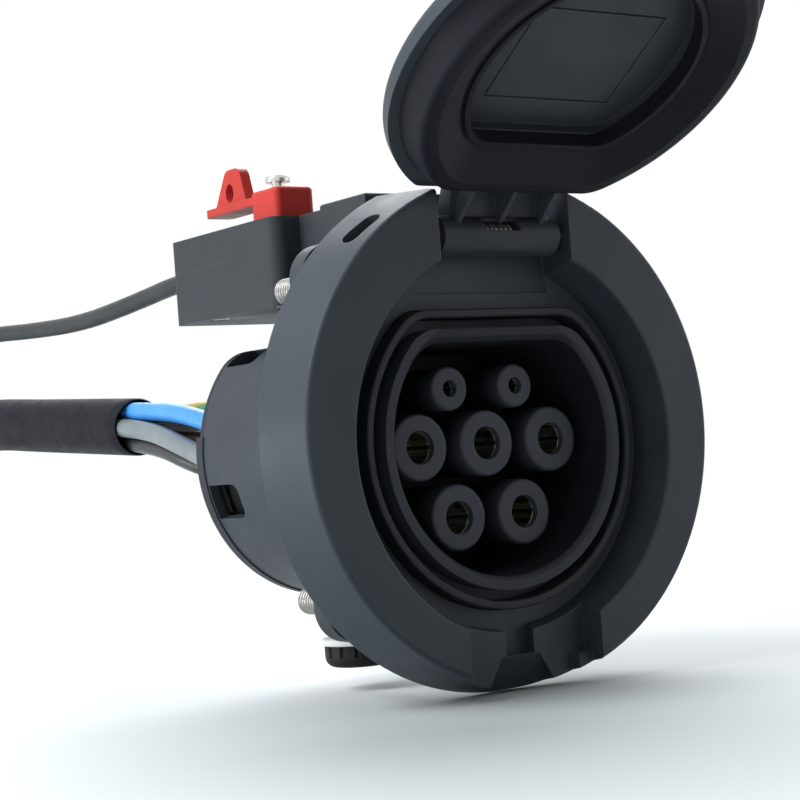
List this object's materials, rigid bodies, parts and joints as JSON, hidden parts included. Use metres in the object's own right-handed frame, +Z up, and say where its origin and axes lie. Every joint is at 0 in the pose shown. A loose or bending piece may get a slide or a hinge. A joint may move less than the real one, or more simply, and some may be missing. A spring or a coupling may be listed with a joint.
{
  "type": "ev charging socket",
  "caption": "Panel-mounted vehicle charging socket with sprung lid, contact well, electric plug lock, manual release lever, drain spout and supply cable.",
  "frame": {"origin": "centre of the flange's rear face, where the socket seats on its panel", "axes": "+Z up, -Y towards the plug (front), +X to the right seen from the front"},
  "size_m": [0.094, 0.5355, 0.133],
  "materials": {
    "bezel_plastic": "fine satin",
    "housing_plastic": "fine satin",
    "lid_plastic": "fine satin",
    "seal_rubber": "matt",
    "carrier_plastic": "semi-gloss",
    "contact_silver": "silver-plated brass",
    "zinc_steel": "zinc-plated",
    "spring_steel": "bright wire",
    "retainer_plastic": "satin",
    "cap_plastic": "satin",
    "drain_rubber": "matt",
    "ring_plastic": "semi-gloss",
    "case_plastic": "grained satin",
    "slide_plastic": "satin",
    "red_plastic": "semi-gloss",
    "coil_winding": "enamelled copper",
    "switch_plastic": "satin",
    "sheath_rubber": "matt",
    "lock_cable_pvc": "matt",
    "signal_pvc": "satin",
    "copper": "bare copper",
    "wire_blue": "satin",
    "wire_green_yellow": "satin, two-colour",
    "wire_brown": "satin",
    "wire_black": "satin",
    "wire_grey": "satin"
  },
  "bodies": {
    "base": {"front_bezel": "bezel_plastic", "mounting_studs": "zinc_steel", "flange_gasket": "seal_rubber", "flange_screws": "zinc_steel", "socket_housing": "housing_plastic", "face_seal": "seal_rubber", "contact_carrier": "carrier_plastic", "contact_tubes": "carrier_plastic", "power_contacts": "contact_silver", "signal_contacts": "contact_silver", "contact_retainer": "retainer_plastic", "retainer_screws": "zinc_steel", "rear_cap": "cap_plastic", "drain_cap": "drain_rubber", "drain_ring": "ring_plastic", "hinge_pin": "zinc_steel", "lid_spring": "spring_steel", "lock_case_lower": "case_plastic", "lock_case_upper": "case_plastic", "case_screws": "zinc_steel", "case_fixing_screws": "zinc_steel", "coil_frame": "zinc_steel", "lock_coil": "coil_winding", "lock_switch": "switch_plastic", "lock_cable_grommet": "seal_rubber", "lock_cable": "lock_cable_pvc", "supply_cable": "sheath_rubber", "signal_wires": "signal_pvc", "signal_tails": "signal_pvc", "conductor_ends": "copper", "wire_blue": "wire_blue", "tail_blue": "wire_blue", "wire_green_yellow": "wire_green_yellow", "tail_green_yellow": "wire_green_yellow", "wire_brown": "wire_brown", "tail_brown": "wire_brown", "wire_black": "wire_black", "tail_black": "wire_black", "wire_grey": "wire_grey", "tail_grey": "wire_grey"},
    "lid": {"lid_shell": "lid_plastic", "lid_plug": "lid_plastic"},
    "lever": {"release_lever": "red_plastic", "lever_screw": "zinc_steel", "release_shaft": "zinc_steel"},
    "slide": {"lock_slide": "slide_plastic", "coil_plunger": "zinc_steel"},
    "pin": {"lock_pin": "zinc_steel", "lock_cross_pin": "zinc_steel"}
  },
  "joints": [
    {"name": "lid_hinge", "type": "hinge", "parent": "base", "child": "lid", "pos_m": [0, -0.0135, 0.0349], "axis": [1, 0, 0], "range_deg": [0, 124], "stiffness_Nm_per_rad": 0.008, "springref_deg": -85.94},
    {"name": "lever_turn", "type": "hinge", "parent": "base", "child": "lever", "pos_m": [-0.0135, 0.0352, 0.044], "axis": [0, 0, 1], "range_deg": [0, 60]},
    {"name": "slide_travel", "type": "slide", "parent": "base", "child": "slide", "axis": [0, 1, 0], "range_m": [0, 0.006]},
    {"name": "pin_travel", "type": "slide", "parent": "base", "child": "pin", "axis": [0, 0, -1], "range_m": [0, 0.006]}
  ],
  "couplings": [
    {"joint": "lever_turn", "follows": "slide_travel", "rad_per_m": 174.53},
    {"joint": "pin_travel", "follows": "slide_travel", "ratio": 1}
  ]
}
